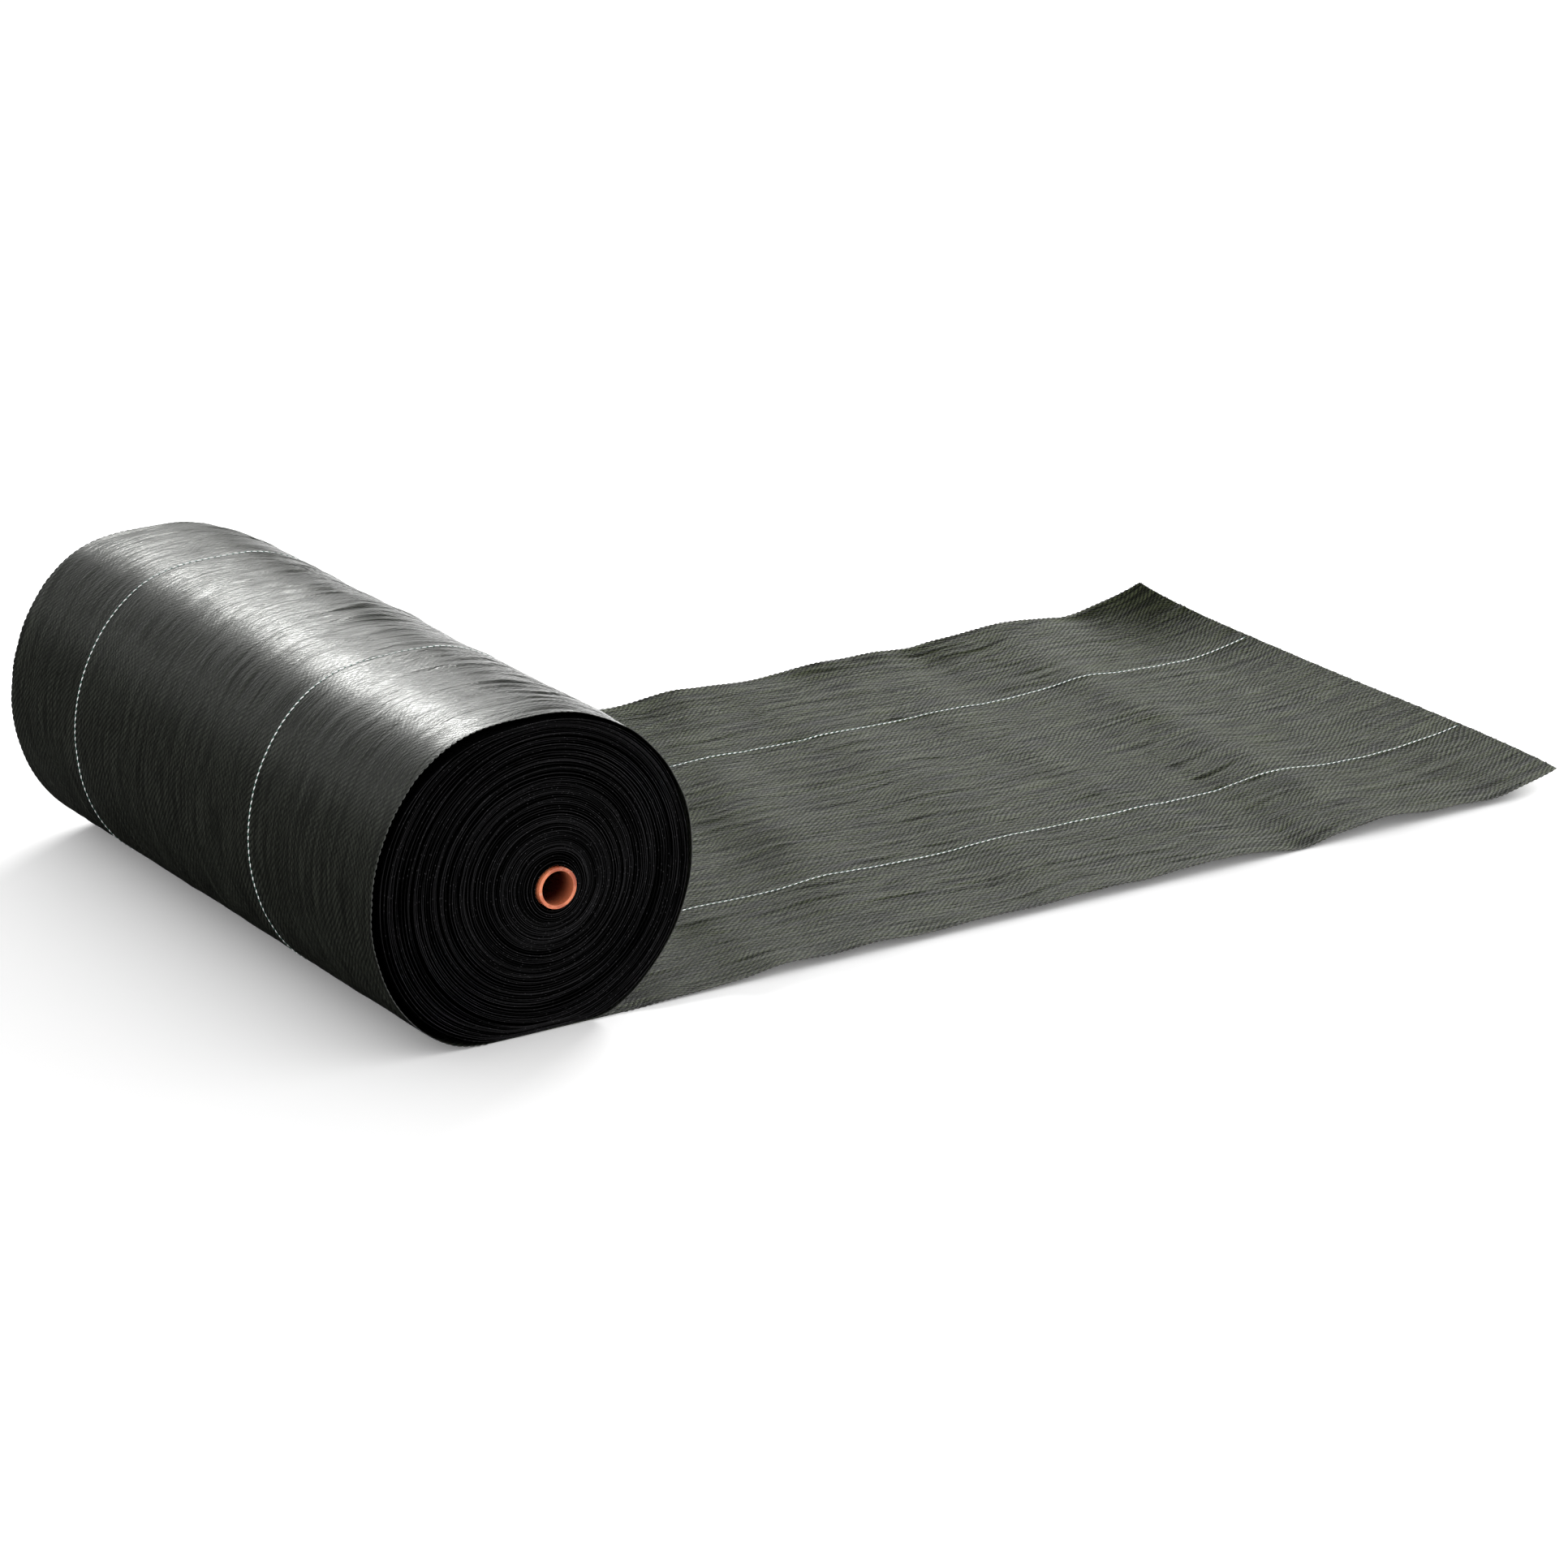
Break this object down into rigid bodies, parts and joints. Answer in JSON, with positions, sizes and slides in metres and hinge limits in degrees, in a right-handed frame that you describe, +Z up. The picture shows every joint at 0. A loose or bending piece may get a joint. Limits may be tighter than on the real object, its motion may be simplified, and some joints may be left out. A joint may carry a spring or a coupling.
{
  "type": "roll of weed control fabric",
  "caption": "Roll of dark woven ground cover cloth on a plastic core tube, partly rolled out flat, with pale marker yarns; the wound cloth turns about the tube's axis.",
  "frame": {"origin": "middle of the object's box, on the ground", "axes": "+X along the laid length towards its free end, +Y along the core tube from its near end, which sticks out, to its far end, +Z up"},
  "size_m": [1.1506, 0.63, 0.2476],
  "materials": {
    "cloth": "woven flat polypropylene tape, satin",
    "slack_cloth": "woven flat polypropylene tape, satin sheen",
    "wound_cloth": "cut edges of tightly wound woven cloth, matt black",
    "core_plastic": "extruded terracotta plastic pipe",
    "tape": "double-sided adhesive tape",
    "marker_yarn": "pale mint flat yarn woven in"
  },
  "bodies": {
    "laid_cloth": {"laid_length": "cloth", "slack_turns": "slack_cloth", "near_marker_on_sheet": "marker_yarn", "far_marker_on_sheet": "marker_yarn", "near_marker_on_roll": "marker_yarn", "far_marker_on_roll": "marker_yarn"},
    "roll": {"core_tube": "core_plastic", "core_tape": "tape", "inner_wound_turns": "wound_cloth", "middle_wound_turns": "wound_cloth", "outer_wound_turns": "wound_cloth"}
  },
  "joints": [
    {"name": "roll_turn", "type": "hinge", "parent": "laid_cloth", "child": "roll", "pos_m": [-0.42973, 0, 0.118], "axis": [0, -1, 0], "continuous": true}
  ]
}
